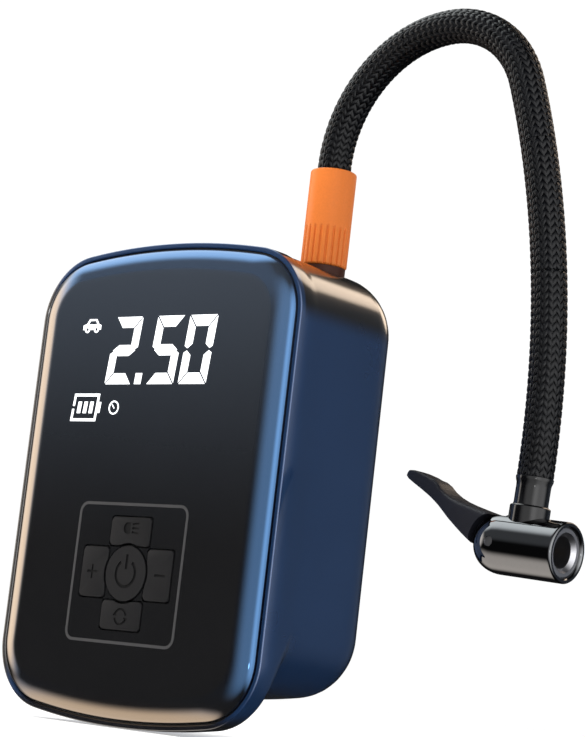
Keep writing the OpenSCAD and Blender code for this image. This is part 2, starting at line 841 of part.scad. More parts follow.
lead_in = 1.2;            // straight length above the collar
turn_a = 90;
turn_b = 70;
turn_c = 24;
split_a = 45;             // turn at which the first bend is divided
split_c = 8;              // turn of each of the three links of the last bend
start_p = [outlet_x, collar_top + lead_in];
joint_1 = arc_end(start_p, 0, bend_a_r, split_a);
joint_2 = arc_end(start_p, 0, bend_a_r, turn_a);
joint_3 = arc_end(joint_2, turn_a, bend_b_r, turn_b);
joint_4 = arc_end(joint_3, turn_a + turn_b, bend_c_r, split_c);
joint_5 = arc_end(joint_3, turn_a + turn_b, bend_c_r, 2 * split_c);
hose_end = arc_end(joint_3, turn_a + turn_b, bend_c_r, turn_c);
tail_a = turn_a + turn_b + turn_c - 180;   // lean of the chuck, right side down
socket_gap = 0.3;
ball_r = hose_r - 0.1;

module at_point(p) {
    translate([p[0], outlet_y, p[1]]) children();
}

// Solid hose along an arc that starts at p with the given heading.
module hose_arc(p, heading, r, turn) {
    c = p + r * [cos(heading), -sin(heading)];
    at_point(c) rotate([90, 0, 0]) rotate([0, 0, 180 - heading - turn])
        rotate_extrude(angle = turn, $fn = 128) translate([r, 0]) circle(r = hose_r, $fn = 48);
}

// Spherical hollow in the start of a link, round the ball of the link before it.
module socket(p) {
    at_point(p) sphere(r = hose_r + socket_gap, $fn = 48);
}

module ball(p) {
    at_point(p) sphere(r = ball_r, $fn = 48);
}

module hose_1() {
    color([0.08, 0.08, 0.09]) difference() {
        union() {
            along_z(outlet_x, outlet_y, stub_z, start_p[1] - stub_z + 0.1, hose_r - gap);
            hose_arc(start_p, 0, bend_a_r, split_a);
            ball(joint_1);
        }
        along_z(outlet_x, outlet_y, stub_z - 1, collar_top - 6 - stub_z + 1.5, neck_r + gap);
    }
}

module hose_2() {
    color([0.08, 0.08, 0.09]) {
        difference() {
            hose_arc(joint_1, split_a, bend_a_r, turn_a - split_a);
            socket(joint_1);
        }
        ball(joint_2);
    }
}

module hose_3() {
    color([0.08, 0.08, 0.09]) {
        difference() {
            hose_arc(joint_2, turn_a, bend_b_r, turn_b);
            socket(joint_2);
        }
        ball(joint_3);
    }
}

module last_bend_link(p, i) {
    difference() {
        hose_arc(p, turn_a + turn_b + split_c * i, bend_c_r, split_c);
        socket(p);
    }
}

module hose_4() {
    color([0.08, 0.08, 0.09]) {
        last_bend_link(joint_3, 0);
        ball(joint_4);
    }
}

module hose_5() {
    color([0.08, 0.08, 0.09]) {
        last_bend_link(joint_4, 1);
        ball(joint_5);
    }
}

module hose_6() {
    color([0.08, 0.08, 0.09]) last_bend_link(joint_5, 2);
}

// --- Chuck ------------------------------------------------------------------------------

// Local frame of the chuck: the origin is the hose's end, +X leads to the mouth, +Z up the hose.
module chuck_frame() {
    at_point(hose_end) rotate([0, tail_a, 0]) children();
}

chuck_r = chuck_d / 2;
axis_z = -16.2;               // chuck axis below the hose's end
mouth_x = 12.8;               // mouth of the chuck
rim = 0.8;                    // bevel of the mouth's rim
tail_x = mouth_x - chuck_l;   // rounded back end of the chuck
pivot_x = tail_x + chuck_r;   // lever pivot, at the centre of the rounded end
ferrule_r = 4.3;
ring_r = 5.05;
ring_top = -6.3;
sleeve_r = 5.9;
sleeve_l = 8;
seal_t = 2.4;
slot_w = 6.2;
lever_head_r = 3.6;
lever_pin_r = 1.25;
plunger_r = 3.2;
air_r = 1.2;

module hose_ferrule() {
    color([0.12, 0.12, 0.13]) chuck_frame() difference() {
        union() {
            translate([0, 0, ring_top]) cylinder(h = -gap - ring_top, r = ferrule_r, $fn = 48);
            translate([0, 0, axis_z + chuck_r + 0.12])
                cylinder(h = ring_top - axis_z - chuck_r - 0.12, r = ring_r, $fn = 48);
        }
        translate([0, 0, -20]) cylinder(h = 30, r = air_r, $fn = 32);
    }
}

module chuck_body() {
    color([0.85, 0.86, 0.88]) chuck_frame() difference() {
        union() {
            along_x(pivot_x, 0, axis_z, mouth_x - rim - pivot_x, chuck_r);
            translate([mouth_x - rim, 0, axis_z]) rotate([0, 90, 0])
                cylinder(h = rim, r1 = chuck_r, r2 = chuck_r - rim, $fn = 64);
            intersection() {
                along_x(tail_x - 1, 0, axis_z, chuck_r + 1, chuck_r);
                along_y(pivot_x, -chuck_r - 1, axis_z, 2 * chuck_r + 2, chuck_r);
            }
        }
        // bore for the jaw sleeve, seal and plunger
        along_x(mouth_x - rim - sleeve_l - seal_t - 2 * gap, 0, axis_z, 20, sleeve_r + gap);
        along_x(pivot_x + 3, 0, axis_z, 20, plunger_r + run);
        translate([0, 0, axis_z]) cylinder(h = 12, r = air_r, $fn = 32);
        // pocket for the lever's head, and the slot for its neck, open at the back and the top
        along_y(pivot_x, -slot_w / 2, axis_z, slot_w, lever_head_r + 0.4);
        translate([tail_x - 1, -slot_w / 2, axis_z - 5])
            cube([chuck_r + 2, slot_w, chuck_r + 8]);
        along_y(pivot_x, -chuck_r - 1, axis_z, 2 * chuck_r + 2, lever_pin_r + 0.01);
    }
}

module jaw_sleeve() {
    color([0.10, 0.10, 0.11]) chuck_frame() difference() {
        along_x(mouth_x - sleeve_l - rim, 0, axis_z, sleeve_l, sleeve_r);
        along_x(mouth_x - sleeve_l - 2, 0, axis_z, 20, valve_r);
        translate([mouth_x - 1.8, 0, axis_z]) rotate([0, 90, 0])
            cylinder(h = 1.01, r1 = valve_r, r2 = valve_r + 1, $fn = 48);
    }
}

module chuck_seal() {
    color([0.15, 0.15, 0.15]) chuck_frame() difference() {
        along_x(mouth_x - sleeve_l - rim - seal_t - gap, 0, axis_z, seal_t, sleeve_r);
        along_x(mouth_x - sleeve_l - 8, 0, axis_z, 20, 2.2);
    }
}

// Pushed towards the mouth by the lever's cam, it squeezes the seal onto the valve.
module clamp_plunger() {
    travel = 0.6;
    wall_t = 0.7;
    seal_x = mouth_x - sleeve_l - rim - seal_t - gap;
    back_x = pivot_x + lever_head_r + 1;
    color([0.75, 0.6, 0.3]) chuck_frame() difference() {
        along_x(back_x, 0, axis_z, seal_x - travel - 0.05 - back_x, plunger_r);
        along_x(back_x + wall_t, 0, axis_z, 20, air_r);
        translate([back_x + wall_t, -air_r, axis_z]) cube([5, 2 * air_r, 8]);
    }
}

module lever_pin() {
    color([0.7, 0.7, 0.72]) chuck_frame()
        along_y(pivot_x, -chuck_r + 0.4, axis_z, 2 * chuck_r - 0.8, lever_pin_r);
}

lever_a = 24.7;        // lever's angle above the chuck axis
lever_l = 36;          // pivot to tip
lever_w = 11;          // width at the shoulders
tip_w = 5.4;           // width at the tip

// Side view of the lever's blade: u runs from the pivot to the tip, v is up.
module lever_side() {
    difference() {
        polygon([[3, -4.2], [6.5, -4], [9.3, -3.7], [15.2, -2.7], [21, -1.6], [24.5, -1.3],
                 [lever_l - 3.4, -1.2], [lever_l - 0.9, -0.9], [lever_l, -0.3], [lever_l, 0.2],
                 [lever_l - 1.2, 1], [33, 1.8], [29.8, 2.5], [27, 2.9], [25.2, 2.9],
                 [23, 2.2], [19.5, 2], [15, 2.6], [10, 3.8], [6.2, 4.8], [3, 5]]);
        circle(r = chuck_r + 0.15, $fn = 96);
    }
}

// Top view of the blade: wide at the shoulders, narrow at the tip.
module lever_top() {
    polygon([[3, -lever_w / 2], [14.5, -lever_w / 2 + 0.1], [25, -tip_w / 2 - 1],
             [lever_l - 2, -tip_w / 2], [lever_l, -tip_w / 2 + 1.4],
             [lever_l, tip_w / 2 - 1.4], [lever_l - 2, tip_w / 2], [25, tip_w / 2 + 1],
             [14.5, lever_w / 2 - 0.1], [3, lever_w / 2]]);
}

module chuck_lever() {
    neck = 3.4;        // half height of the neck between head and blade
    color([0.10, 0.11, 0.16]) chuck_frame()
        translate([pivot_x, 0, axis_z]) rotate([0, lever_a, 0]) mirror([1, 0, 0]) difference() {
            union() {
                intersection() {
                    translate([0, lever_w, 0]) rotate([90, 0, 0])
                        linear_extrude(2 * lever_w) lever_side();
                    translate([0, 0, -10]) linear_extrude(20) lever_top();
                }
                along_y(0, -slot_w / 2 + 0.15, 0, slot_w - 0.3, lever_head_r);
                translate([0, -slot_w / 2 + 0.15, -neck])
                    cube([chuck_r + 1.4, slot_w - 0.3, 2 * neck - 0.6]);
            }
            along_y(0, -10, 0, 20, lever_pin_r + run);
        }
}

front_plate();
keypad_border();
display_digits();
display_icons();
power_button();
light_button();
mode_button();
plus_button();
minus_button();
keypad_mat();
tact_switches();
main_board();
display_module();
pressure_sensor();
front_frame();
case_gasket();
rear_housing();
housing_screws();
usb_port();
torch_lens();
torch_led();
battery_cells();
battery_holder();
cell_straps();
motor_can();
motor_endcap();
motor_rotor();
pinion();
pump_frame();
frame_screws();
gear_axle();
crank_gear();
crank_pin();
connecting_rod();
wrist_pin();
piston();
piston_seal();
pump_cylinder();
cylinder_head();
head_screws();
air_tube();
outlet_port();
port_nut();
port_seal();
hose_fitting();
hose_collar();
hose_1();
hose_2();
hose_3();
hose_4();
hose_5();
hose_6();
hose_ferrule();
chuck_body();
jaw_sleeve();
chuck_seal();
clamp_plunger();
lever_pin();
chuck_lever();
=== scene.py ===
import json
import math

import bmesh
import bpy
import numpy as np
from mathutils import Matrix, Vector


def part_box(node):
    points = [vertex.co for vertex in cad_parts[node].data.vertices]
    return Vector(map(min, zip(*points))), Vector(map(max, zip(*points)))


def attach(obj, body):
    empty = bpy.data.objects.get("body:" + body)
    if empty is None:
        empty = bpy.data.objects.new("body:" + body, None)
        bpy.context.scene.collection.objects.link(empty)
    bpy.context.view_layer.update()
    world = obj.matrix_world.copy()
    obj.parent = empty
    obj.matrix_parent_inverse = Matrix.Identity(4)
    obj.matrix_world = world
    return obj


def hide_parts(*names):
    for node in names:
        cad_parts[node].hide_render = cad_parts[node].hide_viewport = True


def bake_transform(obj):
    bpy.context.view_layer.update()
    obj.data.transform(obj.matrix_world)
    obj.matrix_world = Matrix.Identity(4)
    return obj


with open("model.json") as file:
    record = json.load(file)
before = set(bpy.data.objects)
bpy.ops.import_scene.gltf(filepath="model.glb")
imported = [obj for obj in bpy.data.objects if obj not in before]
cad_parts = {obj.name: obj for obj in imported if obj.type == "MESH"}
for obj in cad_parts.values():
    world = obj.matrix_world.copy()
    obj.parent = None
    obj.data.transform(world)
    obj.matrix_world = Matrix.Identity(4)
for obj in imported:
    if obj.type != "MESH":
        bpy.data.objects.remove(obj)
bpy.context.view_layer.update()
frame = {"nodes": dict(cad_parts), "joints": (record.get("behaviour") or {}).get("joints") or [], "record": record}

# Lengths below are in millimetres, in the CAD's frame: +X right, +Y out of the flat back, +Z up.


def span(node):
    """Low and high corner of a CAD node, in millimetres."""
    lo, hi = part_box(node)
    return np.array(lo) * 1000, np.array(hi) * 1000


def joint_at(name):
    return np.array([j for j in frame["joints"] if j["name"] == name][0]["pos_m"]) * 1000


# --- Sizes, from the frame ----------------------------------------------------

case_lo, case_hi = span("rear_housing")
cover_lo, cover_hi = span("front_plate")
gasket_hi = span("case_gasket")[1]
case_w, case_h = case_hi[0] - case_lo[0], case_hi[2] - case_lo[2]
cover_w = cover_hi[0] - cover_lo[0]
lip_y, face_y, seam_y = case_lo[1], cover_lo[1], cover_hi[1]
ledge_y = gasket_hi[1] + 0.05
lip_t = 1.4
wall = 2.2
corner_r = 18.5
arch_r = 215
body_w = case_w - 3.5
body_r = 17
body_top = case_hi[2] - 0.9
body_bottom = -54.4
back_round = 13
cover_r = corner_r - (case_w - cover_w) / 2
cover_round = 7.5
cover_wall = 1.6
collar_lo, collar_hi = span("hose_collar")
outlet = (collar_lo + collar_hi) / 2
collar_r = (collar_hi[0] - collar_lo[0]) / 2
port_r = 4.05
lens_lo, lens_hi = span("torch_lens")
torch = (lens_lo + lens_hi) / 2
usb_lo, usb_hi = span("usb_port")

# --- Mesh helpers -------------------------------------------------------------


def from_mesh(name, mesh):
    obj = bpy.data.objects.new(name, mesh)
    bpy.context.scene.collection.objects.link(obj)
    return obj


def tidy(obj, sharp=32):
    """Outward normals and smooth shading with sharp edges above an angle."""
    bm = bmesh.new()
    bm.from_mesh(obj.data)
    bmesh.ops.recalc_face_normals(bm, faces=bm.faces)
    bm.to_mesh(obj.data)
    bm.free()
    obj.data.shade_smooth()
    obj.data.set_sharp_from_angle(angle=math.radians(sharp))
    return obj


def build(name, verts, faces, sharp=32):
    mesh = bpy.data.meshes.new(name)
    mesh.from_pydata((np.asarray(verts, float) / 1000).tolist(), [], [list(map(int, f)) for f in faces])
    return tidy(from_mesh(name, mesh), sharp)


def ring_faces(count, n, wrap=False):
    """Quads between count rings of n points."""
    rows = np.arange(count if wrap else count - 1)
    i, j = np.meshgrid(rows, np.arange(n), indexing="ij")
    nxt = (i + 1) % count
    a, b = i * n + j, i * n + (j + 1) % n
    c, d = nxt * n + (j + 1) % n, nxt * n + j
    return np.stack([a, b, c, d], -1).reshape(-1, 4)


def loft(name, rings, sharp=32):
    """Closed skin through rings of equal point count, capped at both ends."""
    n = len(rings[0])
    faces = [tuple(f) for f in ring_faces(len(rings), n)]
    faces.append(tuple(range(n))[::-1])
    faces.append(tuple(range(n * (len(rings) - 1), n * len(rings))))
    return build(name, np.concatenate(rings), faces, sharp)


def lathe(name, profile, n=96, sharp=32, place=None, flute=None):
    """Ring-shaped solid: a closed (radius, height) profile turned about Z, then placed by a 4x4."""
    turn = np.linspace(0, 2 * math.pi, n, endpoint=False)
    rings = []
    for r, z in profile:
        rr = np.full(n, float(r)) - (flute(turn, r, z) if flute else 0)
        rings.append(np.stack([rr * np.cos(turn), rr * np.sin(turn), np.full(n, float(z))], 1))
    verts = np.concatenate(rings)
    if place is not None:
        verts = verts @ np.array(place)[:3, :3].T + np.array(place)[:3, 3]
    return build(name, verts, ring_faces(len(rings), n, wrap=True), sharp)


def prism(name, outline, y_front, y_back, soft=0.0, sharp=32):
    """Flat plate from an (x, z) outline between two depths, its front edge rounded by soft."""
    n = len(outline)
    bm = bmesh.new()
    front = [bm.verts.new((x / 1000, y_front / 1000, z / 1000)) for x, z in outline]
    back = [bm.verts.new((x / 1000, y_back / 1000, z / 1000)) for x, z in outline]
    cap = bm.faces.new(front)
    bm.faces.new(back[::-1])
    for i in range(n):
        bm.faces.new((front[i], back[i], back[(i + 1) % n], front[(i + 1) % n]))
    if soft:
        bmesh.ops.bevel(bm, geom=list(cap.edges), offset=soft / 1000, segments=3, profile=0.5,
                        affect="EDGES", clamp_overlap=True)
    mesh = bpy.data.meshes.new(name)
    bm.to_mesh(mesh)
    bm.free()
    return tidy(from_mesh(name, mesh), sharp)


def boxed(name, lo, hi):
    x0, y0, z0 = lo
    x1, y1, z1 = hi
    return prism(name, [(x0, z0), (x1, z0), (x1, z1), (x0, z1)], y0, y1)


def rod(name, start, end, r, n=64):
    """Solid cylinder between two points."""
    start, end = Vector(start), Vector(end)
    way = (end - start).normalized()
    side = way.orthogonal().normalized()
    up = way.cross(side)
    turn = np.linspace(0, 2 * math.pi, n, endpoint=False)
    disc = np.outer(np.cos(turn), side) * r + np.outer(np.sin(turn), up) * r
    return loft(name, [disc + np.array(start), disc + np.array(end)])


def combine(obj, others, how="DIFFERENCE", sharp=32):
    """Exact boolean of obj with the others, which are used up. A cutter's material lines its cut."""
    for other in others:
        mod = obj.modifiers.new("bool", "BOOLEAN")
        mod.operation, mod.solver, mod.object = how, "EXACT", other
        mod.material_mode = "TRANSFER"
        bpy.context.view_layer.update()
        done = bpy.data.meshes.new_from_object(
            obj.evaluated_get(bpy.context.evaluated_depsgraph_get()))
        obj.modifiers.clear()
        obj.data = done
        bpy.data.objects.remove(other)
    return tidy(obj, sharp)


def arc(cx, cz, r, a0, a1, n):
    return [(cx + r * math.cos(math.radians(a)), cz + r * math.sin(math.radians(a)))
            for a in np.linspace(a0, a1, n)]


# --- Materials ----------------------------------------------------------------


def linear(rgb):
    return tuple(((c / 255 + 0.055) / 1.055) ** 2.4 if c > 10 else c / 255 / 12.92 for c in rgb) + (1,)


def finish(name, rgb, rough=0.5, metal=0.0, coat=0.0, coat_rough=0.06, grain=900.0, tint=0.10,
           wear=0.10, relief=0.04, glow=None, clear=0.0, stretch=(1, 1, 1), spec=0.5, ior=1.5,
           coat_ior=1.5, mirror=(1, 1, 1), fade=(), mirror_fade=()):
    """Procedural material: a base colour, fine grain in colour and relief, and uneven gloss.
    mirror tints the reflections. fade and mirror_fade list (colour, axis, start, end): what the base
    and the reflections turn to between two places on an axis."""
    m = bpy.data.materials.new(name)
    m.use_nodes = True
    nodes, links = m.node_tree.nodes, m.node_tree.links
    shader = nodes["Principled BSDF"]
    place = nodes.new("ShaderNodeTexCoord")
    scale = nodes.new("ShaderNodeMapping")
    scale.inputs["Scale"].default_value = stretch
    links.new(place.outputs["Object"], scale.inputs["Vector"])

    def noise(size, detail):
        tex = nodes.new("ShaderNodeTexNoise")
        tex.inputs["Scale"].default_value = size
        tex.inputs["Detail"].default_value = detail
        links.new(scale.outputs["Vector"], tex.inputs["Vector"])
        return tex.outputs["Fac"]

    def ranged(value, lo, hi):
        remap = nodes.new("ShaderNodeMapRange")
        remap.inputs["From Min"].default_value, remap.inputs["From Max"].default_value = 0.3, 0.7
        remap.inputs["To Min"].default_value, remap.inputs["To Max"].default_value = lo, hi
        links.new(value, remap.inputs["Value"])
        return remap.outputs["Result"]

    def maths(operation, a, b):
        node = nodes.new("ShaderNodeMath")
        node.operation = operation
        for socket, value in zip(node.inputs, (a, b)):
            if isinstance(value, float):
                socket.default_value = value
            else:
                links.new(value, socket)
        return node.outputs[0]

    fine, broad = noise(grain, 5), noise(grain / 25, 3)
    shade = nodes.new("ShaderNodeMix")
    shade.data_type = "RGBA"
    base = linear(rgb)
    shade.inputs["A"].default_value = tuple(c * (1 - tint) for c in base[:3]) + (1,)
    shade.inputs["B"].default_value = tuple(min(1, c * (1 + tint)) for c in base[:3]) + (1,)
    mixed = maths("ADD", maths("MULTIPLY", fine, 0.5), maths("MULTIPLY", broad, 0.5))
    links.new(ranged(mixed, 0, 1), shade.inputs["Factor"])

    def faded(colour, changes):
        for target, axis, start, end in changes:
            where = nodes.new("ShaderNodeSeparateXYZ")
            links.new(place.outputs["Object"], where.inputs[0])
            level = nodes.new("ShaderNodeMapRange")
            level.interpolation_type = "SMOOTHSTEP"
            level.inputs["From Min"].default_value = start / 1000
            level.inputs["From Max"].default_value = end / 1000
            links.new(where.outputs[axis], level.inputs["Value"])
            blend = nodes.new("ShaderNodeMix")
            blend.data_type = "RGBA"
            blend.inputs["B"].default_value = target + (1,)
            links.new(level.outputs["Result"], blend.inputs["Factor"])
            if isinstance(colour, tuple):
                blend.inputs["A"].default_value = colour + (1,)
            else:
                links.new(colour, blend.inputs["A"])
            colour = blend.outputs["Result"]
        return colour

    colour = faded(shade.outputs["Result"], [(linear(rgb)[:3], *where) for rgb, *where in fade])
    if mirror_fade:
        links.new(faded(mirror, mirror_fade), shader.inputs["Specular Tint"])
    links.new(colour, shader.inputs["Base Color"])
    links.new(ranged(broad, max(0.02, rough * (1 - wear)), min(1, rough * (1 + wear))),
              shader.inputs["Roughness"])
    if relief:
        bump = nodes.new("ShaderNodeBump")
        bump.inputs["Strength"].default_value = relief
        bump.inputs["Distance"].default_value = 0.0002
        links.new(fine, bump.inputs["Height"])
        links.new(bump.outputs["Normal"], shader.inputs["Normal"])
    shader.inputs["Metallic"].default_value = metal
    shader.inputs["Specular IOR Level"].default_value = spec
    shader.inputs["Coat Weight"].default_value = coat
    shader.inputs["Coat Roughness"].default_value = coat_rough
    shader.inputs["Transmission Weight"].default_value = clear
    shader.inputs["IOR"].default_value = ior
    shader.inputs["Coat IOR"].default_value = coat_ior
    shader.inputs["Specular Tint"].default_value = mirror + (1,)
    if glow:
        shader.inputs["Emission Color"].default_value = linear(glow[0])
        shader.inputs["Emission Strength"].default_value = glow[1]
    return m


# reflection tints painted on the cover by place: warm, blue, and a dim one for the flat face
WARM, BLUE, DIM = (1.0, 0.80, 0.60), (0.21, 0.47, 0.94), (0.18, 0.19, 0.21)
LACQUER = (34, 66, 110)
shoulder_z = case_hi[2] - 22.5    # height where the housing's sides begin to darken towards the top, a painted dark reflection
foot_z = case_lo[2]
side_x = -body_w / 2              # left side of the housing
LOOKS = {
    # cover: the face's colour is lightened towards the top, a painted reflection on the upper face
    "cover_black": dict(rgb=(24, 24, 25), rough=0.05, ior=2.8, relief=0.001, wear=0.3,
                        fade=[((59, 66, 76), "Z", -22, cover_hi[2] + 31.75)], mirror=WARM,
                        # painted reflection colours: warm at the foot and the left edge, blue on the other edges,
                        # dimmed on the flat face
                        mirror_fade=[(BLUE, "Z", foot_z + 4, foot_z + 13),
                                     (WARM, "X", side_x + 12, side_x + 4),
                                     (DIM, "Y", face_y + 0.12, face_y + 0.01)]),
    "housing_blue": dict(rgb=LACQUER, rough=0.30, metal=0.6, coat=1.0, coat_rough=0.10, coat_ior=1.65,
                         grain=1400, tint=0.03, relief=0.0,
                         # painted dark reflection over the top, held off the front lip by the lacquer fade below
                         fade=[((28, 25, 22), "Z", shoulder_z, shoulder_z + 6),
                               (LACQUER, "Y", lip_y + 2.2, lip_y + 1.2),
                               # painted shade on the far left side and towards the foot
                               ((40, 37, 36), "X", side_x + 5, side_x),
                               ((30, 31, 38), "Z", foot_z + 8, foot_z + 3)]),
    "inner_black": dict(rgb=(30, 30, 32), rough=0.55, relief=0.08),
    "button_black": dict(rgb=(22, 22, 24), rough=0.60, grain=2500, relief=0.10, spec=0.2),
    "mark_black": dict(rgb=(14, 14, 15), rough=0.75, relief=0.1, spec=0.2),
    "line_grey": dict(rgb=(54, 54, 56), rough=0.5, relief=0.05),
    "lit_white": dict(rgb=(235, 240, 245), rough=0.4, glow=((255, 255, 255), 1.0), relief=0.02),
    "display_body": dict(rgb=(205, 205, 198), rough=0.5),
    "board_green": dict(rgb=(18, 84, 44), rough=0.35, coat=0.5, grain=600, relief=0.12),
    "chip_black": dict(rgb=(26, 26, 28), rough=0.6),
    "silicone_black": dict(rgb=(34, 34, 34), rough=0.75, relief=0.08),
    "screw_steel": dict(rgb=(170, 170, 174), rough=0.32, metal=1.0),
    "motor_steel": dict(rgb=(160, 162, 166), rough=0.38, metal=1.0, stretch=(0.15, 1, 1)),
    "pump_aluminium": dict(rgb=(186, 188, 192), rough=0.42, metal=1.0, relief=0.08),
    "brass": dict(rgb=(196, 160, 84), rough=0.3, metal=1.0),
    "gear_plastic": dict(rgb=(226, 224, 214), rough=0.5, relief=0.05),
    "copper_rotor": dict(rgb=(176, 104, 60), rough=0.4, metal=0.8, stretch=(0.2, 1, 1), relief=0.2),
    "cell_wrap": dict(rgb=(44, 118, 168), rough=0.35, coat=0.4, tint=0.05),
    "clear_lens": dict(rgb=(226, 232, 238), rough=0.12, clear=0.75, coat=0.5, relief=0.01),
    "led_yellow": dict(rgb=(236, 206, 96), rough=0.4, relief=0.05),
    "tube_clear": dict(rgb=(214, 216, 214), rough=0.35, clear=0.3),
    "collar_orange": dict(rgb=(229, 122, 46), rough=0.48, grain=1800, tint=0.06, relief=0.05, spec=0.35),
    "hose_braid": dict(rgb=(4, 5, 9), rough=0.34, grain=5000, tint=0.5, relief=0.2, spec=0.24),
    "ferrule_black": dict(rgb=(7, 7, 9), rough=0.12, coat=1.0, coat_rough=0.04, coat_ior=1.32, spec=0.2,
                          relief=0.01),
    # port nut: dark brown painted shade with the collar's orange reflection in it
    "nut_painted_shade": dict(rgb=(62, 29, 17), rough=0.5, grain=1800, relief=0.05, spec=0.2),
    "chrome": dict(rgb=(102, 103, 105), rough=0.05, metal=1.0, relief=0.004, tint=0.03, wear=0.5),
    "lever_black": dict(rgb=(21, 22, 30), rough=0.5, grain=2200, relief=0.12, spec=0.35),
}
MATERIALS = {name: finish(name, **look) for name, look in LOOKS.items()}


def dress(obj, *looks):
    """Gives obj its materials, in the order of its face material numbers."""
    obj.data.materials.clear()
    for look in looks:
        obj.data.materials.append(MATERIALS[look])
    return obj


def part(obj, body, look, *nodes):
    """obj rides on a body with one look and stands for CAD nodes."""
    if not obj.data.materials:
        dress(obj, look)
    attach(obj, body)
    if nodes:
        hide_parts(*nodes)
    return obj


# --- Outlines -----------------------------------------------------------------


def outline(w, bottom, top, r, big=arch_r, n=18):
    """Arched, round-cornered outline as (x, z) points."""
    h = top - bottom
    mid = (top + bottom) / 2
    lean = math.degrees(math.asin((w / 2 - r) / (big - r)))
    cz = h / 2 - big + (big - r) * math.cos(math.radians(lean))
    upper = [(big * math.cos(math.radians(a)), h / 2 - big + big * math.sin(math.radians(a)))
             for a in np.linspace(90, 90 - lean, n + 1)]
    upper += [(w / 2 - r + r * math.cos(math.radians(a)), cz + r * math.sin(math.radians(a)))
              for a in np.linspace(90 - lean, 0, n + 1)[1:]]
    lower = [(x, -z) for x, z in upper[::-1]]
    half = upper + lower
    left = [(-x, z) for x, z in half[::-1][1:-1]]
    return np.array([(x, z + mid) for x, z in half + left])


def ring(y, w, bottom, top, r, inset=0.0):
    pts = outline(w - 2 * inset, bottom + inset, top - inset, r - inset, arch_r - inset)
    return np.stack([pts[:, 0], np.full(len(pts), y), pts[:, 1]], 1)


def ease(t):
    t = min(1.0, max(0.0, t))
    return t * t * (3 - 2 * t)


sweep_y = (ledge_y - 0.7, ledge_y + 6.6)  # depth over which the lip sweeps up into the underside


def body_ring(y, inset=0.0):
    """Outline of the housing's outside at depth y."""
    stations = [lip_y, ledge_y - 0.6, ledge_y + 1.6, -back_round, 0]
    w = np.interp(y, stations, [case_w, case_w - 0.3, case_w - 0.55, body_w, body_w])
    top = np.interp(y, stations, [case_h / 2, case_h / 2, case_h / 2 - 0.45, body_top, body_top])
    r = np.interp(y, stations, [corner_r, corner_r, corner_r - 0.3, body_r, body_r])
    t = ease((y - sweep_y[0]) / (sweep_y[1] - sweep_y[0]))
    bottom = -case_h / 2 + (body_bottom + case_h / 2) * t
    return ring(y, w, bottom, top, r, inset)


# --- Rear housing -------------------------------------------------------------

rings = [body_ring(-back_round + back_round * math.sin(math.radians(a)),
                   back_round * (1 - math.cos(math.radians(a)))) for a in np.linspace(90, 0, 13)]
rings += [body_ring(y) for y in (-18, -24, -29, -33)]
rings += [body_ring(y) for y in np.linspace(sweep_y[1], sweep_y[0], 15)]
lip_round = 0.35
rings += [body_ring(lip_y + lip_round * (1 - math.sin(math.radians(a))),
                    lip_round * (1 - math.cos(math.radians(a)))) for a in np.linspace(0, 90, 5)]
rings += [ring(y, case_w, -case_h / 2, case_h / 2, corner_r, lip_t - gap)
          for y, gap in ((lip_y, 0.25), (lip_y + 0.25, 0), (ledge_y, 0))]
rings += [ring(y, case_w - 0.6, body_bottom, case_h / 2 - 0.5, body_r + 0.6, wall)
          for y in (ledge_y, ledge_y + 1)]
rings += [ring(-back_round + (back_round - wall) * math.sin(math.radians(a)), body_w, body_bottom,
               body_top, body_r, wall + (back_round - wall) * (1 - math.cos(math.radians(a))))
          for a in np.linspace(0, 90, 7)]
housing = dress(loft("housing_shell", rings, sharp=40), "housing_blue")
seat_z = collar_lo[2] - 0.6
cuts = [rod("cut", (outlet[0], outlet[1], seat_z), (outlet[0], outlet[1], seat_z + 20), collar_r + 0.4, 96),
        rod("cut", (outlet[0], outlet[1], seat_z - 12), (outlet[0], outlet[1], seat_z + 9), port_r),
        rod("cut", (torch[0], torch[1], lens_lo[2]), (torch[0], torch[1], lens_hi[2] + 9),
            (lens_hi[0] - lens_lo[0]) / 2 - 1.15)]
usb_mid = (usb_lo + usb_hi) / 2
slot_h = usb_hi[1] - usb_lo[1] + 0.4
slot_w = usb_hi[2] - usb_lo[2] + 0.4
usb_end = [(usb_mid[1] + u, v) for u, v in
           arc(0, usb_mid[2] + (slot_w - slot_h) / 2, slot_h / 2, 0, 180, 13)
           + arc(0, usb_mid[2] - (slot_w - slot_h) / 2, slot_h / 2, 180, 360, 13)]
usb_rings = [np.array([(x, y, z) for y, z in usb_end]) for x in (case_lo[0] - 2, usb_hi[0])]
cuts.append(loft("cut", usb_rings))
for cut in cuts:
    dress(cut, "housing_blue")
combine(housing, cuts, sharp=40)
part(housing, "housing", "housing_blue", "rear_housing")

# --- Front cover --------------------------------------------------------------

pad_lo, pad_hi = span("keypad_border")
pad_z = (pad_lo[2] + pad_hi[2]) / 2
button_gap = 0.4
moat = 0.75
arm_corner = 1.1
power_lo, power_hi = span("power_button")
power_r = (power_hi[0] - power_lo[0]) / 2
ARMS = {0: "light_button", 1: "plus_button", 2: "mode_button", 3: "minus_button"}


